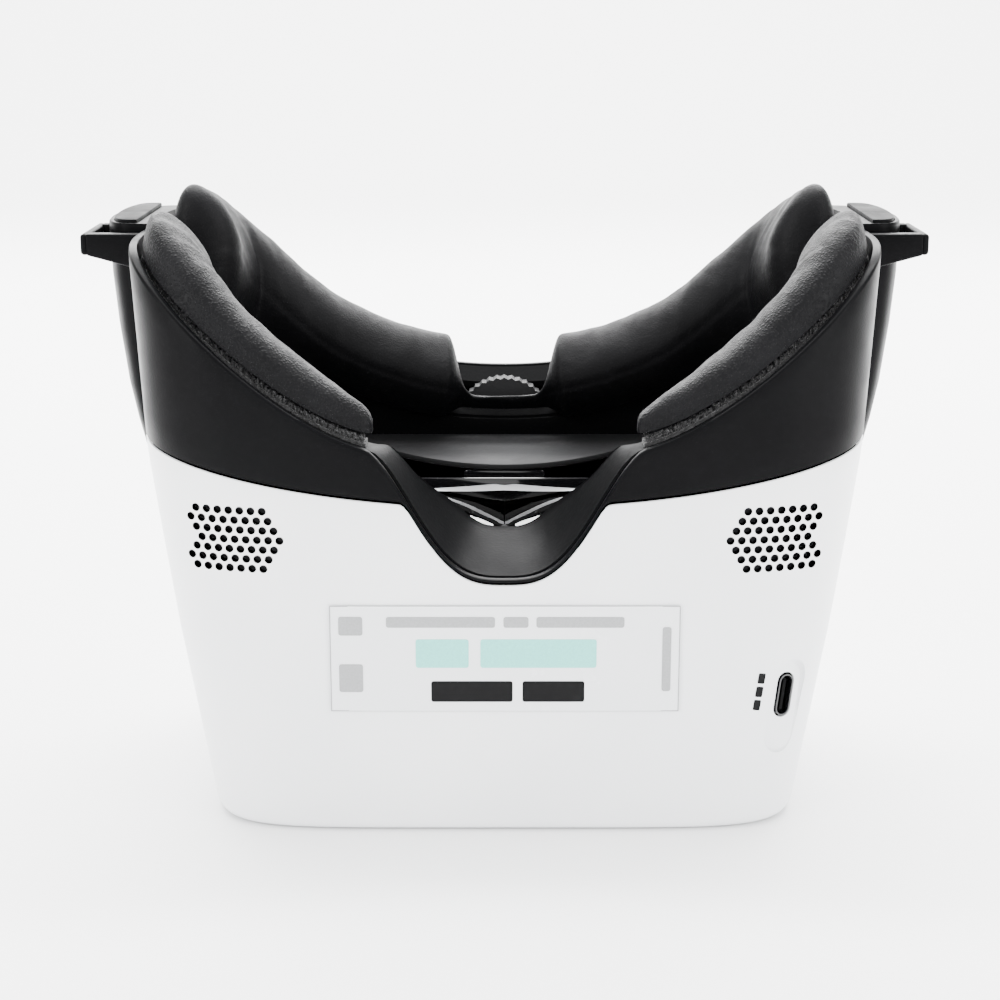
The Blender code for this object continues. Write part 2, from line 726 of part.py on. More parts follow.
def display():
    frame = add_object("display_bracket", box((-58, -33, 14), (58, 33, 16)), "grey_plastic")
    for sx in (-1, 1):
        ear = cylinder((sx * GUIDE_ROD[0], GUIDE_ROD[1]), 2.2, 14, 16, sides=16)
        apply_boolean(frame, ear, "UNION")
        for sy in (-1, 1):
            at = (sx * 53.0, sy * 29.5)
            leg = box((at[0] - 2, at[1] - 2, FLOOR_Z + GAP), (at[0] + 2, at[1] + 2, 15))
            apply_boolean(frame, leg, "UNION")
    apply_boolean(frame, box((-44, -25, 10), (44, 25, 20)))
    add_object("display_panel", box((-49, -28, 16.3), (49, 28, 18.3)), "screen_glass")
    rings = [(rounded_rectangle(46, 27, 3), 18.6), (rounded_rectangle(56, 30, 6), 48.8),
             (rounded_rectangle(54.6, 28.6, 5), 48.8), (rounded_rectangle(44.6, 25.6, 2), 18.6)]
    hood = skin([[(x, y, z) for x, y in ring] for ring, z in rings], closed=True)
    add_object("display_hood", hood, "black_plastic")
    flex = prism([(28.4, 17.8), (28.4, 17.4), (34.0, 17.4), (34.0, 10.6), (28.5, 10.6),
                  (28.5, 10.2), (34.4, 10.2), (34.4, 17.8)], 0, 1)
    bmesh.ops.transform(flex, matrix=Matrix(((0, 0, 14, 12), (1, 0, 0, 0), (0, 1, 0, 0),
                                             (0, 0, 0, 1))), verts=flex.verts)
    add_object("display_ribbon", flex, "ribbon")


def electronics():
    board = add_object("main_board", box((-48, -29, 8.3), (48, 28.2, 9.9)), "circuit_board")
    apply_boolean(board, merged(*[cylinder(at, 1.3, 7, 12, sides=12) for at in BOARD_SCREWS]))
    for number, (x, y) in enumerate(BOARD_SCREWS, 1):
        screw = turned([(1.0, 4.8), (1.0, 10.2), (2.3, 10.2), (2.3, 11.2), (1.8, 11.8)], 12)
        bmesh.ops.translate(screw, vec=(x, y, 0), verts=screw.verts)
        add_object(f"board_screw_{number}", screw, "steel", smooth=True)
    add_object("shield_can", box((-16, -14, 10.2), (16, 14, 12.6)), "steel")
    sink = add_object("heat_sink", box((-20, -16, 6.6), (20, 16, 8.0)), "aluminium")
    for k in range(7):
        x = -18.0 + 6.0 * k
        apply_boolean(sink, box((x - 0.8, -16, 4.2), (x + 0.8, 16, 7.0)), "UNION")


def fan():
    x, y, z = FAN_CENTRE
    half = FAN_SIDE / 2
    low, high = y - FAN_DEPTH / 2, y + FAN_DEPTH / 2
    frame = add_object("fan_frame", box((x - half, low, z - half), (x + half, high, z + half)),
                       "grey_plastic")
    apply_boolean(frame, cylinder((x, z), 9.3, low + 0.8, high + 2, "Y", 32))
    apply_boolean(frame, cylinder((x, z), 9.3, low - 2, low + 1.2, "Y", 32))
    spokes = union_of(box((x - 9.8, high - 1.0, z - 0.7), (x + 9.8, high, z + 0.7)),
                      box((x - 0.7, high - 1.0, z - 9.8), (x + 0.7, high, z + 9.8)))
    apply_boolean(frame, spokes, "UNION")
    apply_boolean(frame, cylinder((x, z), 4.2, high - 1.0, high, "Y", 20), "UNION")
    rotor = add_object("fan_rotor", cylinder((x, z), 4.2, low + 0.4, high - 1.4, "Y", 20),
                       "black_plastic")
    for k in range(7):
        blade = box((3.6, -1.6, -0.35), (8.6, 1.6, 0.35))
        turn = (Matrix.Translation((x, y - 0.4, z)) @ Matrix.Rotation(2 * math.pi * k / 7, 4, "Y")
                @ Matrix.Rotation(math.radians(35), 4, "X"))
        apply_boolean(rotor, placed(blade, turn), "UNION")
    set_origin(rotor, FAN_CENTRE)


def vent_meshes():
    for side, name in ((-1, "vent_mesh_left"), (1, "vent_mesh_right")):
        rings = []
        for k in range(7):
            x = 43.0 + 24.0 * k / 6
            y, back = surface_y(x, 63.0, -1, 2.6), surface_y(x, 63.0, -1, 3.0)
            rings.append([(x, y, 55.0), (x, y, 70.0), (x, back, 70.0), (x, back, 55.0)])
        add_object(name, on_side(skin(rings), side), "steel")


def usb_port():
    matrix = usb_frame()
    shell = placed(prism(stadium(1.62, 4.5), 1.3, 8.3, "Y"), matrix)
    port = add_object("usb_port", shell, "steel")
    apply_boolean(port, placed(prism(stadium(1.35, 4.2), -1.0, 7.5, "Y"), matrix))
    tongue = placed(box((-0.35, 2.0, -3.3), (0.35, 7.2, 3.3)), matrix)
    add_object("usb_contact_tongue", tongue, "black_plastic")
    board = placed(box((-5.0, 8.7, -6.0), (5.0, 9.9, 6.0)), matrix)
    add_object("usb_board", board, "circuit_board")


def label_sticker():
    rings = []
    for k in range(9):
        x = -35.6 + 71.2 * k / 8
        top = surface_y(x, 49.4) - GAP
        foot = surface_y(x, 26.9) - GAP
        rings.append([(x, foot, 26.9), (x, top, 49.4), (x, top - 0.15, 49.4),
                      (x, foot - 0.15, 26.9)])
    add_object("label_sticker", skin(rings), "label_film")


# ---------------------------------------------------------------- controls and sockets

def controls():
    x, z = JOYSTICK_AT
    wall = surface_y(x, z, 1)
    add_object("joystick_base", cylinder(JOYSTICK_AT, 6.4, wall - 9.0, wall - 7.0, "Y", 20), "steel")
    gimbal = add_object("joystick_gimbal", box((x - 2.4, wall - 6.7, z - 2.4),
                                               (x + 2.4, wall - 4.9, z + 2.4)), "black_plastic")
    stick = turned([(1.3, -4.6), (1.3, 1.0), (3.6, 1.6), (3.6, 2.8), (3.0, 3.4)], 20)
    turn = Matrix.Translation((x, wall, z)) @ Matrix.Rotation(-math.pi / 2, 4, "X")
    cap = add_object("joystick_cap", placed(stick, turn), "black_plastic", smooth=True)
    for piece in (gimbal, cap):
        set_origin(piece, (x, wall - 5.8, z))
    for name, bx in BUTTON_X.items():
        wall = surface_y(bx, BUTTON_Z, 1)
        shape = turned([(4.6, -5.0), (4.6, -3.8), (BUTTON_RADIUS, -3.8), (BUTTON_RADIUS, 0.7),
                        (BUTTON_RADIUS - 0.5, 1.2)], 20)
        turn = Matrix.Translation((bx, wall, BUTTON_Z)) @ Matrix.Rotation(-math.pi / 2, 4, "X")
        button = add_object(name, placed(shape, turn), "black_plastic", smooth=True)
        set_origin(button, (bx, wall, BUTTON_Z))
    add_object("button_board", box((-54, 33.0, 32), (-30, 34.4, 44)), "circuit_board")


def sockets():
    for x, name in zip(ANTENNA_JACK_X, ("antenna_jack_left", "antenna_jack_right")):
        wall = surface_y(x, ANTENNA_JACK_Z, 1)
        profile = [(3.9, -9.0), (3.9, -6.6), (3.1, -6.6), (3.1, 6.8), (2.3, 6.8), (2.3, 1.0)]
        turn = (Matrix.Translation((x, wall, ANTENNA_JACK_Z))
                @ Matrix.Rotation(-math.pi / 2, 4, "X"))
        add_object(name, placed(turned(profile, 18), turn), "brass", smooth=True)
    x, z = POWER_JACK_AT
    wall = surface_y(x, z, 1)
    profile = [(4.0, -9.0), (4.0, -0.3), (2.8, -0.3), (2.8, -7.5)]
    turn = Matrix.Translation((x, wall, z)) @ Matrix.Rotation(-math.pi / 2, 4, "X")
    add_object("power_jack", placed(turned(profile, 20), turn), "black_plastic", smooth=True)


clear_scene()
PARTS = collection("fpv_goggles")
CUTTERS = collection("cutters")
MATERIALS = {
    "white_plastic": material("white_plastic", (0.86, 0.87, 0.88), 0.42),
    "black_plastic": material("black_plastic", (0.022, 0.023, 0.026), 0.45),
    "gloss_black": material("gloss_black", (0.01, 0.01, 0.012), 0.12),
    "grey_plastic": material("grey_plastic", (0.12, 0.12, 0.13), 0.5),
    "pad_leather": material("pad_leather", (0.028, 0.028, 0.03), 0.5),
    "hook_fabric": material("hook_fabric", (0.008, 0.008, 0.009), 0.95),
    "lens_glass": material("lens_glass", (0.9, 0.93, 0.95), 0.03, alpha=0.35),
    "screen_glass": material("screen_glass", (0.01, 0.01, 0.02), 0.08),
    "steel": material("steel", (0.6, 0.61, 0.63), 0.3, 1.0),
    "brass": material("brass", (0.85, 0.65, 0.3), 0.28, 1.0),
    "aluminium": material("aluminium", (0.75, 0.76, 0.78), 0.35, 1.0),
    "circuit_board": material("circuit_board", (0.01, 0.12, 0.06), 0.4),
    "ribbon": material("ribbon", (0.45, 0.24, 0.05), 0.4),
    "label_film": material("label_film", (0.88, 0.89, 0.9), 0.25),
}
front_shell()
front_panel()
rear_shell()
temple_caps()
faceplate()
hook_strips()
pad_backings()
face_pads()
lens(-1)
lens(1)
lens_carriage()
focus_drive()
guide_rods()
display()
electronics()
fan()
vent_meshes()
usb_port()
label_sticker()
controls()
sockets()
bpy.data.collections.remove(CUTTERS)
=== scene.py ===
"""Looks of the FPV goggles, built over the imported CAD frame.

Shapes are worked out in millimetres from the housing's own surface functions, the same ones
that the CAD uses, at a finer step; `piece` turns them into metres in the shared frame.
"""

import json
import math
import random

import bmesh
import bpy
from mathutils import Matrix, Vector, noise


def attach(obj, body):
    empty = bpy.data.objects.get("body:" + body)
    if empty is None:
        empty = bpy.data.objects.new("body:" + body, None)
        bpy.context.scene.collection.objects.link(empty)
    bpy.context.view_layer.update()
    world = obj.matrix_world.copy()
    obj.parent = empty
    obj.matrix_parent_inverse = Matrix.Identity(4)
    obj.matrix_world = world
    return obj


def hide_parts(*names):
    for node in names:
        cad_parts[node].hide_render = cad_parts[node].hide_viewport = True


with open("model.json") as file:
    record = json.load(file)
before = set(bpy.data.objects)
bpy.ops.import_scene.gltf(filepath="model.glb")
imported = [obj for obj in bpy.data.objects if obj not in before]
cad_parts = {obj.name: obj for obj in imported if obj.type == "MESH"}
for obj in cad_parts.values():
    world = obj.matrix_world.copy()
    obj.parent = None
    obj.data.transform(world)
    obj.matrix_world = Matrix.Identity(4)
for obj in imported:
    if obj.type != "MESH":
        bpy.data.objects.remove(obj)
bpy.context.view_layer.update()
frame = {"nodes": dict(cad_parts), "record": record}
NODES = frame["nodes"]

MM = 0.001
SHARP = 35                     # degrees between faces that still shade as one surface
SHIFT_Y = -2.15                # depth offset of the shared frame

# Driving dimensions of the housing, in millimetres
SHOULDER_Z, SQUARE_TO_Z = 78.0, 40.0
SHELL_WALL, REAR_WALL, SEAM_GAP, NOSE_LIP = 2.2, 2.0, 0.5, 0.7
FLOOR_Z = 3.8
PILLAR_Y, PILLAR_HALF = 17.0, 19.0
PILLAR_PROFILE = ((66.5, 74.6), (68.5, 78.8), (72, 81.2), (78, 82.8), (86, 84.6), (99, 86.4),
                  (110, 87.4), (121.6, 87.8))
LOOP_Y = (-6.0, 16.0)
LOOP_TIP_X, LOOP_BAR_X, LOOP_ROOT_Z, LOOP_Z, LOOP_ARM = 91.2, 89.4, 111.7, (115.2, 119.8), 3.4
GRILLE_CENTRE, GRILLE_ROWS = (54.4, 62.9), (7, 8, 8, 8, 8, 8, 7)
GRILLE_HOLE_RADIUS = 0.86
USB_AT, USB_TURN, USB_TILT = (58.7, 28.4), math.radians(24), math.radians(8)
CAP_INNER_X, CAP_MARGIN, CAP_FOOT_Z = 79.4, 1.2, 120.6
FOREHEAD_Z, WHEEL_CLEAR = 82.0, 12.9
LENS_CENTRE, LENS_RADIUS = (28.0, 4.0), 30.0
LENS_BACK_Z, LENS_FRONT_Z = 52.6, 55.4
LENS_SHARES = (0.02, 0.15, 0.3, 0.45, 0.6, 0.72, 0.84, 0.93, 0.985)
WHEEL_CENTRE = (0.0, 40.2, 68.5)
PAD_SPANS = {"cheek_left": (-168.0, -119.5), "cheek_right": (-60.5, -12.0),
             "forehead": (6.0, 174.0)}


# ---------------------------------------------------------------- housing surfaces

def smooth_step(t):
    t = min(1.0, max(0.0, t))
    return t * t * (3 - 2 * t)


def half_width(z):
    return 62.4 + 0.174 * min(z, SHOULDER_Z) + 0.055 * max(0.0, z - SHOULDER_Z)


def half_depth(z):
    return 47.2 + 0.017 * z


def squareness(z):
    share = min(1.0, max(0.0, (z - SQUARE_TO_Z) / (SHOULDER_Z - SQUARE_TO_Z)))
    return 6.2 - 1.6 * share


def outline(angle, z, inset=0.0):
    w, d, n = half_width(z), half_depth(z), squareness(z)
    c, s = math.cos(angle), math.sin(angle)
    r = (abs(c / w) ** n + abs(s / d) ** n) ** (-1 / n)
    x, y = r * c, r * s
    gx = math.copysign(abs(x / w) ** (n - 1) / w, x)
    gy = math.copysign(abs(y / d) ** (n - 1) / d, y)
    length = math.hypot(gx, gy)
    return x - inset * gx / length, y - inset * gy / length


def surface_y(x, z, side=-1):
    w, d, n = half_width(z), half_depth(z), squareness(z)
    return side * d * (1 - min(0.999, abs(x / w)) ** n) ** (1 / n)


def side_x(y, z, inset=0.0):
    w, d, n = half_width(z), half_depth(z), squareness(z)
    return w * (1 - abs(y / d) ** n) ** (1 / n) - inset


def stations(step=1.5, turn=3.0):
    """Directions around the housing: even along the walls and closer around its corners."""
    dense = [2 * math.pi * k / 3600 - math.pi for k in range(3601)]
    points = [Vector(outline(a, 78.0)) for a in dense]
    total, marks = 0.0, [0.0]
    for i in range(1, len(points)):
        ahead = points[(i + 1) % 3600] - points[i]
        behind = points[i] - points[i - 1]
        near_nose = abs(points[i].x) < 24 and points[i].y < 0
        total += behind.length / (step * (0.5 if near_nose else 1.0))
        total += math.degrees(behind.angle(ahead, 0.0)) / turn
        marks.append(total)
    count, chosen, i = round(total), [], 0
    for k in range(count):
        target = total * k / count
        while marks[i + 1] < target:
            i += 1
        chosen.append(dense[i])
    return chosen


def face_height(x, y):
    cheek = 81.5 + 0.1 * max(0.0, abs(x) - 25) ** 1.5
    inwards = min(30.0, y + 48.5)
    depth, width = 26.7 - 0.293 * inwards, 28.5 - 0.442 * inwards
    cheek -= depth * (1 - smooth_step((abs(x) / width) ** 1.55))
    forehead = 82.0 + 39.0 * (abs(x) / 79.0) ** 2.2
    share = smooth_step((y + 20) / 40)
    return cheek * (1 - share) + forehead * share


def rim_height(angle):
    z = 100.0
    for _ in range(12):
        z = face_height(*outline(angle, z))
    return z


def seam_height(angle):
    z = 75.0
    for _ in range(8):
        x, y = outline(angle, z)
        side = smooth_step((abs(x) - 54) / 6) * smooth_step((33 - abs(y - PILLAR_Y)) / 12)
        z = 70.3 + 0.00185 * x * x - 18.0 * side
    return z


def shell_joint(angle):
    seam, lip = seam_height(angle), rim_height(angle) - NOSE_LIP
    h = min(1.0, max(0.0, 0.5 + 0.25 * (lip - seam)))
    return lip * (1 - h) + seam * h - 2.0 * h * (1 - h)


def flange_width(x, y):
    near = 9.5 + 2.5 * smooth_step((abs(x) - 24) / 20) + 12.0 * math.exp(-(x / 15) ** 4)
    return near + (13.0 - near) * smooth_step((y + 15) / 30)


def flange_point(angle, share, lift=0.0, start=2.4, extra=0.0):
    rim = rim_height(angle)
    x, y = outline(angle, rim)
    width = flange_width(x, y) + extra
    inset = start + share * (width - start)
    x, y = outline(angle, rim, inset)
    lean = 10.6 * smooth_step((y - 2) / 26) * (inset - 2.4) / (width - 2.4)
    return Vector((x, y, face_height(x, y) - 0.5 - lean + lift))


# ---------------------------------------------------------------- materials

class Shader:
    """A procedural material: one Principled shader and a few noise layers in object space."""

    def __init__(self, name, colour, roughness, **sockets):
        self.material = bpy.data.materials.new("look_" + name)
        self.material.use_nodes = True
        self.tree = self.material.node_tree
        self.shader = self.tree.nodes["Principled BSDF"]
        self.shader.inputs["Base Color"].default_value = (*colour, 1.0)
        self.shader.inputs["Roughness"].default_value = roughness
        for key, value in sockets.items():
            self.shader.inputs[key.replace("_", " ")].default_value = value
        self.colour = colour
        coords = self.tree.nodes.new("ShaderNodeTexCoord")
        self.coords = coords.outputs["Object"]
        self.height = None

    def node(self, kind, **values):
        made = self.tree.nodes.new(kind)
        for key, value in values.items():
            if hasattr(made, key):
                setattr(made, key, value)
            else:
                made.inputs[key.replace("_", " ")].default_value = value
        return made

    def link(self, source, target):
        self.tree.links.new(source, target)

    def grain(self, scale, detail=3.0, roughness=0.55, stretch=(1, 1, 1)):
        mapping = self.node("ShaderNodeMapping")
        mapping.inputs["Scale"].default_value = stretch
        self.link(self.coords, mapping.inputs["Vector"])
        made = self.node("ShaderNodeTexNoise", Scale=scale, Detail=detail, Roughness=roughness)
        self.link(mapping.outputs["Vector"], made.inputs["Vector"])
        return made.outputs["Fac"]

    def cells(self, scale, feature="F1", warp=0.0):
        made = self.node("ShaderNodeTexVoronoi", Scale=scale, feature=feature)
        source = self.coords
        if warp:
            jitter = self.node("ShaderNodeTexNoise", Scale=scale * 0.9, Detail=2.0)
            self.link(self.coords, jitter.inputs["Vector"])
            mix = self.node("ShaderNodeMix", data_type="VECTOR")
            mix.inputs["Factor"].default_value = warp
            self.link(self.coords, mix.inputs[4])
            self.link(jitter.outputs["Color"], mix.inputs[5])
            source = mix.outputs[1]
        self.link(source, made.inputs["Vector"])
        return made.outputs["Distance"]

    def ramp(self, fac, low, high, out_low, out_high):
        made = self.node("ShaderNodeMapRange")
        for key, value in (("From Min", low), ("From Max", high), ("To Min", out_low),
                           ("To Max", out_high)):
            made.inputs[key].default_value = value
        self.link(fac, made.inputs["Value"])
        return made.outputs["Result"]

    def vary_roughness(self, fac, low, high):
        self.link(self.ramp(fac, 0.3, 0.7, low, high), self.shader.inputs["Roughness"])

    def vary_colour(self, fac, other, low=0.3, high=0.7):
        mix = self.node("ShaderNodeMix", data_type="RGBA")
        mix.inputs[6].default_value = (*self.colour, 1.0)
        mix.inputs[7].default_value = (*other, 1.0)
        self.link(self.ramp(fac, low, high, 0.0, 1.0), mix.inputs["Factor"])
        self.link(mix.outputs[2], self.shader.inputs["Base Color"])

    def bump(self, fac, distance, strength=1.0):
        made = self.node("ShaderNodeBump", Distance=distance, Strength=strength)
        self.link(fac, made.inputs["Height"])
        if self.height is not None:
            self.link(self.height, made.inputs["Normal"])
        self.height = made.outputs["Normal"]
        self.link(self.height, self.shader.inputs["Normal"])


def make_materials():
    looks = {}
    white = Shader("white_plastic", (0.87, 0.88, 0.89), 0.36, Specular_IOR_Level=0.5)
    white.vary_roughness(white.grain(60, 4), 0.32, 0.42)
    white.vary_colour(white.grain(18, 3), (0.785, 0.80, 0.82))
    white.bump(white.grain(2600, 2), 0.00004, 0.35)
    looks["white_plastic"] = white

    black = Shader("black_plastic", (0.0022, 0.0022, 0.0025), 0.34, Specular_IOR_Level=0.03)
    black.vary_roughness(black.grain(90, 4), 0.28, 0.42)
    black.vary_colour(black.grain(30, 3), (0.0032, 0.0033, 0.0036))
    black.bump(black.grain(2200, 2), 0.00005, 0.5)
    looks["black_plastic"] = black

    frame_black = Shader("frame_black", (0.0032, 0.0033, 0.0036), 0.50, Specular_IOR_Level=0.025)
    frame_black.vary_roughness(frame_black.grain(120, 4), 0.4, 0.56)
    frame_black.bump(frame_black.grain(1500, 2), 0.00006, 0.6)
    looks["frame_black"] = frame_black

    # The ledge's base colour is a lighter grey than frame_black: painted light for the shelf's
    # upward-facing top.
    ledge = Shader("ledge_black_painted_lit", (0.02, 0.02, 0.021), 0.6, Specular_IOR_Level=0.2)
    ledge.vary_roughness(ledge.grain(120, 4), 0.52, 0.68)
    ledge.bump(ledge.grain(1500, 2), 0.00006, 0.6)
    looks["ledge_black_painted_lit"] = ledge

    gloss = Shader("gloss_black", (0.006, 0.006, 0.007), 0.09, Coat_Weight=0.4)
    gloss.vary_roughness(gloss.grain(40, 5), 0.06, 0.16)
    gloss.bump(gloss.grain(300, 2), 0.00002, 0.2)
    looks["gloss_black"] = gloss

    grey = Shader("grey_plastic", (0.10, 0.10, 0.11), 0.5)
    grey.vary_roughness(grey.grain(90, 4), 0.42, 0.6)
    grey.bump(grey.grain(1800, 2), 0.00005, 0.5)
    looks["grey_plastic"] = grey

    for name, grain, depth in (("pad_leather", 1900, 0.00015), ("brow_leather", 2400, 0.00005)):
        skin_look = Shader(name, (0.0034, 0.0034, 0.0038), 0.40, Specular_IOR_Level=0.07)
        skin_look.vary_roughness(skin_look.grain(400, 3), 0.38, 0.55)
        skin_look.vary_colour(skin_look.grain(70, 3), (0.005, 0.005, 0.0056))
        skin_look.bump(skin_look.ramp(skin_look.cells(grain, warp=0.0002), 0.05, 0.6, 1.0, 0.0),
                       depth, 0.8)
        skin_look.bump(skin_look.grain(grain * 0.4, 3), depth * 0.9, 0.5)
        skin_look.bump(skin_look.grain(140, 2, stretch=(1.0, 1.0, 1.8)), 0.0006, 0.3)
        looks[name] = skin_look

    hooks = Shader("hook_fabric", (0.006, 0.006, 0.0065), 0.9, Sheen_Weight=0.25)
    hooks.vary_colour(hooks.grain(900, 2), (0.02, 0.02, 0.021))
    hooks.bump(hooks.cells(1300), 0.0006, 1.0)
    looks["hook_fabric"] = hooks

    glass = Shader("lens_glass", (0.97, 0.985, 1.0), 0.015, Transmission_Weight=1.0, IOR=1.52)
    glass.vary_roughness(glass.grain(30, 3), 0.008, 0.03)
    glass.bump(glass.grain(12, 1), 0.00002, 0.1)
    looks["lens_glass"] = glass

    screen = Shader("screen_glass", (0.008, 0.008, 0.012), 0.06, Coat_Weight=0.5)
    screen.vary_roughness(screen.grain(20, 3), 0.04, 0.09)
    screen.bump(screen.grain(9000, 1), 0.00001, 0.3)
    looks["screen_glass"] = screen

    for name, colour, rough in (("steel", (0.55, 0.56, 0.58), 0.28),
                                ("brass", (0.78, 0.58, 0.26), 0.26),
                                ("aluminium", (0.72, 0.73, 0.75), 0.36)):
        metal = Shader(name, colour, rough, Metallic=1.0)
        metal.vary_roughness(metal.grain(400, 4, stretch=(1, 1, 8)), rough - 0.08, rough + 0.14)
        metal.bump(metal.grain(2500, 2, stretch=(1, 1, 0.1)), 0.00003, 0.4)
        looks[name] = metal

    board = Shader("circuit_board", (0.008, 0.085, 0.045), 0.34)
    board.vary_colour(board.cells(700), (0.02, 0.14, 0.08), 0.1, 0.5)
    board.vary_roughness(board.grain(300, 3), 0.28, 0.5)
    board.bump(board.cells(900), 0.00008, 0.6)
    looks["circuit_board"] = board

    ribbon = Shader("ribbon", (0.35, 0.17, 0.03), 0.3)
    ribbon.vary_colour(ribbon.grain(500, 1, stretch=(1, 12, 1)), (0.2, 0.09, 0.02))
    ribbon.bump(ribbon.grain(800, 1, stretch=(1, 12, 1)), 0.00005, 0.5)
    looks["ribbon"] = ribbon

    film = Shader("label_film", (0.755, 0.77, 0.79), 0.22, Coat_Weight=0.3)
    film.vary_roughness(film.grain(50, 4), 0.16, 0.3)
    film.vary_colour(film.grain(40, 3), (0.74, 0.755, 0.775))
    film.bump(film.grain(180, 2), 0.00003, 0.25)
    looks["label_film"] = film

    for name, colour in (("print_teal", (0.18, 0.58, 0.52)), ("print_black", (0.003, 0.003, 0.0033)),
                         ("print_grey", (0.27, 0.275, 0.28))):
        ink = Shader(name, colour, 0.35, Specular_IOR_Level=0.08)
        ink.vary_roughness(ink.grain(700, 3), 0.28, 0.5)
        ink.vary_colour(ink.grain(2200, 2), tuple(min(1.0, 1.12 * c) for c in colour))
        ink.bump(ink.grain(1800, 2), 0.00002, 0.3)
        looks[name] = ink

    floor = Shader("floor", (0.92, 0.92, 0.92), 0.6)
    floor.vary_roughness(floor.grain(8, 3), 0.52, 0.7)
    floor.bump(floor.grain(300, 2), 0.00005, 0.2)
    looks["floor"] = floor
    return looks


LOOKS = make_materials()


# ---------------------------------------------------------------- mesh helpers

def piece(name, bm, look, body="housing", stands_for=(), sharp=SHARP):
    """Turns millimetre geometry into a named piece that rides on a CAD body."""
    bmesh.ops.transform(bm, matrix=Matrix.Translation((0, SHIFT_Y, 0)), verts=bm.verts)
    bmesh.ops.scale(bm, vec=(MM, MM, MM), verts=bm.verts)
    bmesh.ops.recalc_face_normals(bm, faces=bm.faces)
    mesh = bpy.data.meshes.new(name)
    bm.to_mesh(mesh)
    bm.free()
    mesh.shade_smooth()
    mesh.set_sharp_from_angle(angle=math.radians(sharp))
    made = bpy.data.objects.new(name, mesh)
    made.data.materials.append(LOOKS[look].material)
    bpy.context.scene.collection.objects.link(made)
    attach(made, body)
    if stands_for:
        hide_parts(*stands_for)
    return made


def cut(target, bm, operation="DIFFERENCE", look=None):
    """Cuts or joins millimetre geometry into a piece."""
    bmesh.ops.transform(bm, matrix=Matrix.Translation((0, SHIFT_Y, 0)), verts=bm.verts)
    bmesh.ops.scale(bm, vec=(MM, MM, MM), verts=bm.verts)
    bmesh.ops.recalc_face_normals(bm, faces=bm.faces)
    mesh = bpy.data.meshes.new("tool")
    bm.to_mesh(mesh)
    bm.free()
    mesh.shade_smooth()
    if look:
        mesh.materials.append(LOOKS[look].material)
    tool = bpy.data.objects.new("tool", mesh)
    bpy.context.scene.collection.objects.link(tool)
    modifier = target.modifiers.new("cut", "BOOLEAN")
    modifier.operation, modifier.solver, modifier.object = operation, "EXACT", tool
    modifier.material_mode = "TRANSFER" if look else "INDEX"
    bpy.context.view_layer.update()
    evaluated = target.evaluated_get(bpy.context.evaluated_depsgraph_get())
    cut_mesh = bpy.data.meshes.new_from_object(evaluated)
    target.modifiers.clear()
    target.data = cut_mesh
    bpy.data.objects.remove(tool)
    cut_mesh.shade_smooth()
    cut_mesh.set_sharp_from_angle(angle=math.radians(SHARP))


def skin(rings, closed=False):
    bm = bmesh.new()
    loops = [[bm.verts.new(point) for point in ring] for ring in rings]
    pairs = list(zip(loops, loops[1:]))
    if closed:
        pairs.append((loops[-1], loops[0]))
    for lower, upper in pairs:
        for i in range(len(lower)):
            j = (i + 1) % len(lower)
            bm.faces.new((lower[i], lower[j], upper[j], upper[i]))
    if not closed:
        bm.faces.new(loops[0])
        bm.faces.new(loops[-1])
    return bm


def box(low, high, bevel=0.0, segments=3):
    bm = bmesh.new()
    bmesh.ops.create_cube(bm, size=1.0)
    bmesh.ops.scale(bm, vec=[b - a for a, b in zip(low, high)], verts=bm.verts)
    bmesh.ops.translate(bm, vec=[(a + b) / 2 for a, b in zip(low, high)], verts=bm.verts)
    if bevel:
        bmesh.ops.bevel(bm, geom=bm.edges[:], offset=bevel, segments=segments, profile=0.5,
                        affect="EDGES")
    return bm


def cylinder(centre, radius, start, end, sides=24):
    """A cylinder along Y; centre is its (x, z)."""
    bm = bmesh.new()
    bmesh.ops.create_cone(bm, cap_ends=True, segments=sides, radius1=radius, radius2=radius,
                          depth=end - start)
    bmesh.ops.translate(bm, vec=(0, 0, (start + end) / 2), verts=bm.verts)
    bmesh.ops.rotate(bm, matrix=Matrix.Rotation(-math.pi / 2, 3, "X"), verts=bm.verts)
    bmesh.ops.translate(bm, vec=(centre[0], 0, centre[1]), verts=bm.verts)
    return bm


def merged(*shapes):
    total = bmesh.new()
    for bm in shapes:
        mesh = bpy.data.meshes.new("merge")
        bm.to_mesh(mesh)
        bm.free()
        total.from_mesh(mesh)
        bpy.data.meshes.remove(mesh)
    return total


def mirrored(bm, side):
    if side < 0:
        bmesh.ops.scale(bm, vec=(-1, 1, 1), verts=bm.verts)
        bmesh.ops.reverse_faces(bm, faces=bm.faces)
    return bm


def stadium(half, length, steps=10):
    points = []
    for end in (1, -1):
        for k in range(steps + 1):
            a = math.pi * k / steps
            points.append((end * half * math.cos(a), end * (length - half + half * math.sin(a))))
    return points


def usb_frame():
    x, z = USB_AT
    return (Matrix.Translation((x, surface_y(x, z), z)) @ Matrix.Rotation(USB_TURN, 4, "Z")
            @ Matrix.Rotation(USB_TILT, 4, "Y"))


# ---------------------------------------------------------------- shells

def grille_holes(side):
    points = []
    for row, count in enumerate(GRILLE_ROWS):
        off = row - 3
        inner = GRILLE_CENTRE[0] - 8.9 + 1.15 * abs(off)
        points += [(side * (inner + 2.3 * k), GRILLE_CENTRE[1] - off * 2.0) for k in range(count)]
    return points


def usb_cutter():
    levels = ((-4.0, 1.6), (-0.3, 0.4), (-0.05, 0.2), (0.2, 0.05), (0.5, 0.0), (1.3, -0.1),
              (1.6, -0.5))
    recess = skin([[(x, y, z - 2.3) for x, z in stadium(3.8 + e, 10.2 + e)] for y, e in levels])
    passage = skin([[(x, y, z) for x, z in stadium(2.0, 4.9)] for y in (1.3, 9.0)])
    for bm in (recess, passage):
        bmesh.ops.transform(bm, matrix=usb_frame(), verts=bm.verts)
    return recess, passage


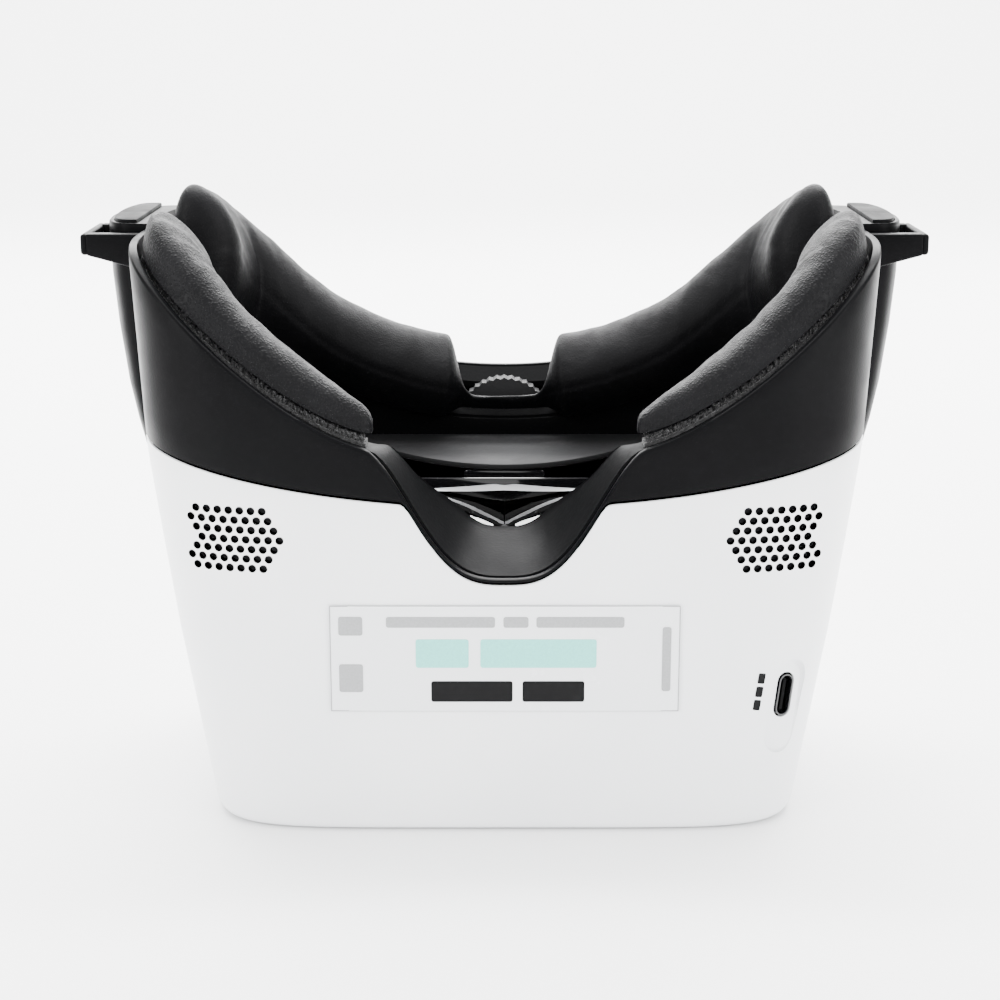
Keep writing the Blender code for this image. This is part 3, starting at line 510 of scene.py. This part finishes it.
def front_shell():
    angles = stations()
    tops = [shell_joint(a) - SEAM_GAP for a in angles]

    def level(inset, z):
        return [(*outline(a, z, inset), z) for a in angles]

    def under(inset, share, drop=0.0):
        heights = [SQUARE_TO_Z + (top - SQUARE_TO_Z) * share - drop for top in tops]
        return [(*outline(a, z, inset), z) for a, z in zip(angles, heights)]

    rings = [level(7.0, 1.8), level(7.0, 0.15), level(6.85, 0.0), level(2.5, 0.0)]
    for k in range(1, 7):
        a = math.pi / 2 * k / 6
        rings.append(level(2.4 * (1 - math.sin(a)), 2.4 * (1 - math.cos(a))))
    rings += [level(0.0, z) for z in (8, 14, 20, 26, 32, 38, SQUARE_TO_Z)]
    rings += [under(0.0, share) for share in (0.12, 0.25, 0.38, 0.5, 0.62, 0.75, 0.88)]
    rings += [under(0.0, 1.0, 0.4), under(0.1, 1.0, 0.12), under(0.38, 1.0), under(SHELL_WALL, 1.0)]
    rings += [under(SHELL_WALL, 0.5), level(SHELL_WALL, SQUARE_TO_Z), level(SHELL_WALL, FLOOR_Z)]
    bm = skin(rings)
    bmesh.ops.recalc_face_normals(bm, faces=bm.faces)
    for face in bm.faces:      # the inside is lined in black
        at = face.calc_center_median()
        inwards = face.normal.x * at.x + face.normal.y * at.y < 0
        face.material_index = 1 if inwards and at.z > FLOOR_Z else 0
    shell = piece("shell_skin", bm, "white_plastic", stands_for=("front_shell",))
    shell.data.materials.append(LOOKS["frame_black"].material)
    for side in (1, -1):
        # The grille hole walls take frame_black: painted shade, so the holes in the white shell read
        # dark.
        holes = [cylinder(at, GRILLE_HOLE_RADIUS, -52, -30, 14) for at in grille_holes(side)]
        cut(shell, merged(*holes), look="frame_black")
    for tool in usb_cutter():
        cut(shell, tool)
    openings = [cylinder((42, 38), 6.0, 40, 56, 40), cylinder((0, 16), 4.3, 40, 56, 32)]
    openings += [cylinder((x, 38), 3.9, 40, 56, 32) for x in (-36.0, -48.0)]
    openings += [cylinder((x, 17), 3.5, 38, 56, 32) for x in (-50.0, 50.0)]
    cut(shell, merged(*openings))


def pillar_ring(z, outer_x, base_inset, shrink=0.0, steps=32):
    half = PILLAR_HALF - shrink
    bulge = outer_x - shrink - side_x(PILLAR_Y, z, base_inset)
    ring = []
    for k in range(steps + 1):
        a = math.pi * k / steps
        y = PILLAR_Y - half * math.cos(a)
        ring.append((side_x(y, z, base_inset) + bulge * math.sin(a) ** 0.5, y, z))
    for k in range(8, -1, -1):
        y = PILLAR_Y - half + 2 * half * k / 8
        ring.append((side_x(y, z, base_inset + 0.9), y, z))
    return ring


def pillar_x(z):
    for (z0, x0), (z1, x1) in zip(PILLAR_PROFILE, PILLAR_PROFILE[1:]):
        if z <= z1:
            return x0 + (x1 - x0) * (z - z0) / (z1 - z0)
    return PILLAR_PROFILE[-1][1]


def strap_loop():
    low, high = LOOP_Z
    near, far = LOOP_Y[0], LOOP_Y[1] - LOOP_ARM
    shapes = []
    for y, root in ((near, side_x(near + LOOP_ARM / 2, 116.0, 1.2)), (far, 85.0)):
        flat = [(root, LOOP_ROOT_Z), (LOOP_BAR_X + 0.6, low), (LOOP_BAR_X + 0.6, high), (root, high)]
        arm = skin([[(x, y, z) for x, z in flat], [(x, y + LOOP_ARM, z) for x, z in flat]])
        bmesh.ops.bevel(arm, geom=arm.edges[:], offset=0.5, segments=3, profile=0.5,
                        affect="EDGES")
        shapes.append(arm)
    bar = box((LOOP_BAR_X, near, low), (LOOP_TIP_X, far + LOOP_ARM, high), 0.8, 4)
    return shapes + [bar]


def rear_shell():
    sections = []
    for a in stations():
        foot, rim = shell_joint(a), rim_height(a)
        span = rim - foot
        low, high = min(0.35, 0.2 * span), min(0.9, 0.5 * span)
        profile = [(0.3, foot), (0.08, foot + 0.3 * low), (0.0, foot + low)]
        profile += [(0.0, foot + low + (span - low - high) * k / 6) for k in range(1, 6)]
        profile += [(0.0, rim - high), (0.08, rim - 0.5 * high), (0.3, rim - 0.15 * high),
                    (0.7, rim), (1.4, rim), (1.75, rim - 0.12 * high), (REAR_WALL, rim - 0.6 * high)]
        profile += [(REAR_WALL, foot + span * share) for share in (0.5, 0.0)]
        sections.append([(*outline(a, z, inset), z) for inset, z in profile])
    shell = piece("rear_skin", skin(sections, closed=True), "black_plastic",
                  stands_for=("rear_shell",))
    heights = [66.5, 67.2, 68.5, 70.2, 72, 75, 78, 82, 86, 92, 99, 105, 110, 116, 120.6, 121.2,
               121.6]
    for side in (1, -1):
        rings = [pillar_ring(z, pillar_x(z) - (0.5 if z > 121.4 else 0.1 if z > 121 else 0), 0.8)
                 for z in heights]
        cut(shell, mirrored(skin(rings), side), "UNION")
        for arm in strap_loop():
            cut(shell, mirrored(arm, side), "UNION")
        recess = skin([[(x, y, z) for x, y in cap_ring(0.0)] for z in (CAP_FOOT_Z, 125.0)])
        cut(shell, mirrored(recess, side))


def cap_ring(shrink):
    half, inner = PILLAR_HALF - CAP_MARGIN - shrink, CAP_INNER_X + shrink
    reach = PILLAR_PROFILE[-1][1] - CAP_MARGIN - shrink - inner
    turns = [math.pi * k / 40 for k in range(41)]
    return [(inner + reach * math.sin(a) ** 0.5, PILLAR_Y - half * math.cos(a)) for a in turns]


def temple_caps():
    for side, name in ((-1, "temple_cap_left"), (1, "temple_cap_right")):
        rings = []
        for z, shrink in ((120.9, 0.3), (122.0, 0.3), (122.3, 0.45), (122.4, 0.9)):
            rings.append([(x, y, z) for x, y in cap_ring(shrink)])
        piece(name + "_skin", mirrored(skin(rings), side), "frame_black", stands_for=(name,))


def faceplate():
    sections = []
    for a in stations(1.6, 3.0):
        top = [flange_point(a, share) for share in
               (0, 0.06, 0.15, 0.3, 0.45, 0.6, 0.75, 0.88, 0.95)]
        edge = flange_point(a, 1.0)
        towards = edge - top[-1]
        flat = Vector((towards.x, towards.y, 0)).normalized()
        rounding = [edge - flat * 0.55 + Vector((0, 0, -0.05)), edge - flat * 0.16
                    + Vector((0, 0, -0.28)), edge + Vector((0, 0, -0.8))]
        foot = min(64.2, edge.z - 3.0)
        back = flange_point(a, 1, extra=-1.8)
        hem = Vector((0, 0, -1.3))
        wall = [Vector((edge.x, edge.y, edge.z + (foot - edge.z) * t)) for t in (0.35, 0.7, 1.0)]
        sections.append([*top, *rounding, *wall, Vector((back.x, back.y, foot)), back + hem,
                         top[5] + hem, top[3] + hem, top[0] + hem])
    plate = piece("faceplate_skin", skin(sections, closed=True), "frame_black",
                  stands_for=("faceplate",))
    x, y, _ = WHEEL_CENTRE
    cut(plate, box((x - 12.6, y - 2.8, 60), (x + 12.6, y + 2.8, 95)))


def ledge_z(y):
    return 64.7 + 0.108 * (y - 14.0)


def visor_ledge():
    """Crescent shelf under the forehead flange, with a rounded edge and a short tab below."""
    rings, count = [], 72
    for k in range(count + 1):
        x = -39.0 + 78.0 * k / count
        near = min(14.0 + 11.0 * (x / 27.0) ** 2, 34.5)
        far = surface_y(x, 68.0, 1) - 12.3
        rings.append([(x, near + 0.5, ledge_z(near)), (x, (near + far) / 2, ledge_z((near + far) / 2)),
                      (x, far, ledge_z(far)), (x, far, ledge_z(far) - 1.6),
                      (x, near + 0.5, ledge_z(near) - 1.6), (x, near + 0.1, ledge_z(near) - 1.3),
                      (x, near, ledge_z(near) - 0.8), (x, near + 0.12, ledge_z(near) - 0.25)])
    piece("ledge", skin(rings), "ledge_black_painted_lit")
    tab = [[(x, y, z) for x, z in stadium(0.9, 9.4)] for y in (0.0, 1.6)]
    bm = skin([[(z, 14.6 + y, 62.1 + x) for x, y, z in ring] for ring in tab])
    bmesh.ops.bevel(bm, geom=[e for e in bm.edges if abs(e.verts[0].co.y - e.verts[1].co.y) < 0.01],
                    offset=0.25, segments=2, profile=0.5, affect="EDGES")
    piece("ledge_tab", bm, "gloss_black")


# ---------------------------------------------------------------- pads

def span_angles(first, last, step):
    count = round((last - first) / step)
    return [math.radians(first + (last - first) * k / count) for k in range(count + 1)]


def wheel_notch(angle, outer):
    """Outer edge of the forehead pad: it steps in to clear the focus wheel."""
    x = abs(outline(angle, FOREHEAD_Z)[0])
    return WHEEL_CLEAR + (outer - WHEEL_CLEAR) * smooth_step((x - 9.5) / 6.0)


def pad_frame(angle, size, outer):
    """Foot, width, rising direction and extra height of a cushion's section at an angle."""
    first = flange_point(angle, 0.5 - 0.5 * size, 2.9, outer, 1.0)
    second = flange_point(angle, 0.5 + 0.78 * size, 2.9, outer, 1.0)
    across = second - first
    up = across.cross(Vector((math.sin(angle), -math.cos(angle), 0))).normalized()
    if up.z < 0:
        up = -up
    rise = smooth_step((rim_height(angle) - 90.0) / 24.0)
    return first, across, up.lerp(Vector((0, 0, 1)), 0.65 * rise).normalized(), 2.6 * rise


def face_pads():
    steps = 40
    for name, (first, last) in PAD_SPANS.items():
        brow = name == "forehead"
        angles = span_angles(first - 0.5, last + 0.5, 0.6 if brow else 0.5)
        places = [Vector((*outline(a, 100.0), rim_height(a))) for a in angles]
        run = [0.0]
        for p, q in zip(places, places[1:]):
            run.append(run[-1] + (q - p).length)
        rings = []
        for k, a in enumerate(angles):
            end = min(run[k] / 7.0, (run[-1] - run[k]) / 7.0)
            if not brow:
                end = min(end, abs(places[k].x) / 26.0 - 1.04)
            size = 0.30 + 0.70 * math.sqrt(max(0.0, 1 - (1 - min(1.0, end)) ** 2))
            outer, thickness = 2.8, 7.9
            if brow:
                outer = wheel_notch(a, 3.6)
                x = abs(outline(a, FOREHEAD_Z)[0])
                thickness = 3.2 + 9.8 * smooth_step((x - 7.5) / 9.0) ** 0.8
            start, across, up, more = pad_frame(a, size, outer)
            thickness = (thickness + more + 0.3) * size
            ring = []
            for i in range(steps + 1):
                t = math.pi * i / steps
                along = 0.5 - 0.5 * math.cos(t) - 0.045 * math.sin(2 * t)
                height = math.sin(t) ** 0.62 if 0 < i < steps else 0.0
                point = start + across * along + up * (thickness * height)
                crease = noise.noise(Vector((run[k] * 0.22, along * 2.0, 3.7 if brow else 9.1)))
                swell = noise.noise(Vector((run[k] * 0.055, along * 1.3, 1.1)))
                wave = (0.34 * crease + 0.8 * swell) * math.sin(t)
                point += up * wave
                if brow:
                    point -= up * (0.55 * math.exp(-((i / steps - 0.79) / 0.018) ** 2))
                ring.append(point)
            inner = [start + across * s for s in (0.93, 0.5, 0.07)]
            rings.append(ring + inner)
        title = "forehead_pad" if brow else name.replace("cheek", "cheek_pad")
        look = "brow_leather" if brow else "pad_leather"
        made = piece(title + "_cushion", skin(rings), look, stands_for=(title,),
                     sharp=60)


def hook_strips():
    spans = {"hook_strip_cheek_left": (-168, -120), "hook_strip_cheek_right": (-60, -12),
             "hook_strip_forehead_left": (106, 170), "hook_strip_forehead_right": (10, 74)}
    chance = random.Random(7)
    for name, (first, last) in spans.items():
        rings = []
        for a in span_angles(first, last, 1.0):
            low = [flange_point(a, share, 0.2, 3.3) for share in (0.85, 0.0)]
            high = [flange_point(a, share, 1.0, 3.3) for share in (0.0, 0.28, 0.57, 0.85)]
            rings.append(low + high)
        tape = skin(rings)
        verts, faces = [], []
        for _ in range(3000):
            a = math.radians(chance.uniform(first + 0.4, last - 0.4))
            foot = flange_point(a, 0.85 * chance.random() ** 1.4, 0.9, 3.3)
            lean = Vector((chance.uniform(-1, 1), chance.uniform(-1, 1), 0)) * 0.5
            height = chance.uniform(0.7, 1.5)
            path = [foot, foot + Vector((0, 0, height * 0.6)) + lean * 0.2,
                    foot + Vector((0, 0, height)) + lean * 0.7,
                    foot + Vector((0, 0, height * 0.75)) + lean * 1.2]
            base = len(verts)
            for point in path:
                for k in range(3):
                    t = 2 * math.pi * k / 3
                    verts.append(point + Vector((0.09 * math.cos(t), 0.09 * math.sin(t), 0)))
            for level in range(3):
                for k in range(3):
                    b, c = base + level * 3 + k, base + level * 3 + (k + 1) % 3
                    faces.append((b, c, c + 3, b + 3))
        mesh = bpy.data.meshes.new("hooks")
        mesh.from_pydata(verts, [], faces)
        tape.from_mesh(mesh)
        bpy.data.meshes.remove(mesh)
        piece(name + "_tape", tape, "hook_fabric", stands_for=(name,))


# ---------------------------------------------------------------- lenses, label and trim

def lenses():
    for side, name in ((-1, "lens_left"), (1, "lens_right")):
        profile = [(LENS_RADIUS * s, LENS_BACK_Z - 4.0 * (1 - s * s)) for s in LENS_SHARES]
        profile += [(LENS_RADIUS - 0.15, LENS_BACK_Z), (LENS_RADIUS, LENS_BACK_Z + 0.2),
                    (LENS_RADIUS, LENS_FRONT_Z - 0.3), (LENS_RADIUS - 0.15, LENS_FRONT_Z)]
        profile += [(LENS_RADIUS * s, LENS_FRONT_Z + 5.4 * (1 - s * s))
                    for s in reversed(LENS_SHARES)]
        turns = [2 * math.pi * k / 96 for k in range(96)]
        rings = [[(side * LENS_CENTRE[0] + r * math.cos(t), LENS_CENTRE[1] + r * math.sin(t), z)
                  for t in turns] for r, z in profile]
        made = piece(name + "_glass", skin(rings), "lens_glass", body="lens_carriage",
                     stands_for=(name,))
        half = (-79.85, 0.15) if side > 0 else (-0.15, 79.85)
        cut(made, box((half[0], -50, 40), (half[1], 50, 70)))
        made.data.materials.append(LOOKS["black_plastic"].material)
        for face in made.data.polygons:      # the rim and the flat are blackened
            if abs(face.normal.z) < 0.3:
                face.material_index = 1


def lens_bridge():
    """Dark plate between the lenses with an aluminium strip along its lower half; the strip is a
    painted highlight in the shape of the lamps' reflection in the two lens tops.
    """
    low = [(-19.5, 60.8), (-14, 60.2), (-6, 58.6), (0, 57.7), (6, 58.6), (14, 60.2), (19.5, 60.8)]
    ring = low + [(19.5, 62.5), (18.9, 63.1), (-18.9, 63.1), (-19.5, 62.5)]
    plate = skin([[(x, y, z) for x, z in ring] for y in (6.6, 7.4)])
    bmesh.ops.bevel(plate, geom=plate.edges[:], offset=0.18, segments=2, profile=0.5,
                    affect="EDGES")
    piece("lens_bridge", plate, "gloss_black", body="lens_carriage")
    # The strip's two lobes and central dip copy the lens reflection: a painted highlight.
    rings = []
    for k in range(41):
        x = -18.0 + 0.9 * k
        share = abs(x) / 18.0
        rise = 1.5 * (1 - share) ** 0.7 * (1 - 0.35 * math.exp(-(x / 1.6) ** 2)) + 0.1
        foot = 60.35 - 0.25 * math.sin(math.pi * share)
        rings.append([(x, 6.55, foot), (x, 6.2, foot), (x, 6.3, foot + 0.15 * rise),
                      (x, 6.55, foot + rise)])
    piece("painted_lens_highlight", skin(rings), "aluminium", body="lens_carriage")


def wall_mark(name, x0, x1, z0, z1, look, lift=0.52, radius=0.35, tilt=0.0):
    """A thin shape on the near wall, its corners rounded: print, and the painted edge lines of the
    label.
    """
    steps = 4
    cx, cz, hx, hz = (x0 + x1) / 2, (z0 + z1) / 2, (x1 - x0) / 2, (z1 - z0) / 2
    radius = min(radius, hx, hz)
    ring = []
    for k, (sx, sz) in enumerate(((1, 1), (-1, 1), (-1, -1), (1, -1))):
        for i in range(steps + 1):
            a = math.pi / 2 * (k + i / steps)
            ring.append((sx * (hx - radius) + radius * math.cos(a),
                         sz * (hz - radius) + radius * math.sin(a)))
    c, s = math.cos(tilt), math.sin(tilt)
    ring = [(cx + x * c - z * s, cz + x * s + z * c) for x, z in ring]
    layers = [[(x, surface_y(x, z) - lift + drop, z) for x, z in ring] for drop in (0.06, 0.0)]
    piece(name, skin(layers), look)


def label_marks():
    bars = [(-24.2, -2.0, 44.9, 47.2, "grey"), (-0.3, 4.8, 44.9, 47.2, "grey"),
            (6.4, 24.3, 44.9, 47.2, "grey"),
            (-18.2, -7.4, 36.3, 42.4, "teal"), (-5.0, 18.7, 36.3, 42.4, "teal"),
            (-15.1, 1.6, 28.9, 33.4, "black"), (3.6, 16.3, 28.9, 33.4, "black"),
            (32.1, 33.9, 31.2, 45.0, "grey"),
            (-33.9, -29.0, 43.2, 47.2, "grey"), (-33.9, -29.0, 31.0, 37.0, "grey")]
    for number, (x0, x1, z0, z1, ink) in enumerate(bars, 1):
        wall_mark(f"print_{number}", x0, x1, z0, z1, "print_" + ink, radius=0.5)
    for k in range(3):
        z = 33.2 - 2.9 * k
        x = 52.4 + 0.14 * (z - 30)
        wall_mark(f"port_mark_{k + 1}", x - 0.75, x + 0.75, z - 1.15, z + 1.15, "print_black",
                lift=0.06, radius=0.3, tilt=-0.14)
    # The four grey border lines are painted light and shade along the label film's edge, not print.
    for number, (x0, x1, z0, z1) in enumerate(((-35.6, 35.6, 49.3, 49.5), (-35.6, 35.6, 26.8, 27.0),
                                               (-35.7, -35.5, 26.8, 49.5),
                                               (35.5, 35.7, 26.8, 49.5)), 1):
        wall_mark(f"painted_label_edge_{number}", x0, x1, z0, z1, "print_grey", lift=0.5, radius=0.1)


def reassign():
    """Gives every CAD node that stays in view its finished material."""
    # The focus wheel takes the ledge's lighter grey, which is painted light.
    special = {"lens_carriage": "frame_black", "focus_wheel": "ledge_black_painted_lit",
               "usb_port": "gloss_black", "usb_contact_tongue": "black_plastic",
               "pad_backing_forehead": "frame_black", "pad_backing_cheek_left": "frame_black",
               "pad_backing_cheek_right": "frame_black"}
    slots = {s["node"]: s["material_slot"] for s in frame["record"]["subparts"]}
    for name, node in NODES.items():
        look = LOOKS[special.get(name, slots[name])].material
        node.data.materials.clear()
        node.data.materials.append(look)


# ---------------------------------------------------------------- studio

def studio():
    sweep = [(-2.5, 0.0), (1.2, 0.0)]
    sweep += [(1.2 + 1.2 * math.sin(a), 1.2 - 1.2 * math.cos(a))
              for a in [math.pi / 2 * k / 24 for k in range(1, 25)]]
    sweep.append((2.4, 3.0))
    bm = bmesh.new()
    rows = [[bm.verts.new((x, y, z)) for x in (-4.0, 4.0)] for y, z in sweep]
    for low, high in zip(rows, rows[1:]):
        bm.faces.new((low[0], low[1], high[1], high[0]))
    mesh = bpy.data.meshes.new("floor")
    bm.to_mesh(mesh)
    bm.free()
    mesh.shade_smooth()
    floor = bpy.data.objects.new("floor", mesh)
    floor.data.materials.append(LOOKS["floor"].material)
    floor.location.z = -0.0002
    bpy.context.scene.collection.objects.link(floor)

    world = bpy.data.worlds.new("studio")
    world.use_nodes = True
    background = world.node_tree.nodes["Background"]
    background.inputs["Color"].default_value = (1.0, 1.0, 1.0, 1.0)
    background.inputs["Strength"].default_value = 1.8
    bpy.context.scene.world = world

    def softbox(name, at, aim, size, power):
        light = bpy.data.lights.new(name, "AREA")
        light.shape, light.size, light.size_y, light.energy = "RECTANGLE", size[0], size[1], power
        made = bpy.data.objects.new(name, light)
        made.location = at
        made.rotation_euler = (Vector(aim) - Vector(at)).to_track_quat("-Z", "Y").to_euler()
        bpy.context.scene.collection.objects.link(made)

    softbox("overhead", (0.0, 0.05, 0.9), (0, 0, 0.06), (0.9, 0.6), 16.0)
    softbox("back_bank", (0.0, 0.8, 0.62), (0, 0, 0.06), (1.2, 0.4), 22.0)
    softbox("sweep_light", (0.0, 0.9, 2.0), (0, 2.0, 0.4), (3.0, 0.8), 240.0)
    softbox("left_bank", (-0.8, -0.6, 0.30), (0, 0, 0.06), (0.4, 0.8), 10.0)
    softbox("right_bank", (0.8, -0.6, 0.30), (0, 0, 0.06), (0.4, 0.8), 10.0)


def camera():
    data = bpy.data.cameras.new("camera")
    data.lens, data.sensor_width = 75.6, 36.0
    made = bpy.data.objects.new("camera", data)
    made.location = (-0.001, -0.4586, 0.1734)
    made.rotation_euler = (math.radians(76.0), 0.0, 0.0)
    bpy.context.scene.collection.objects.link(made)
    bpy.context.scene.camera = made


front_shell()
rear_shell()
temple_caps()
faceplate()
visor_ledge()
face_pads()
hook_strips()
lenses()
lens_bridge()
label_marks()
reassign()
studio()
camera()
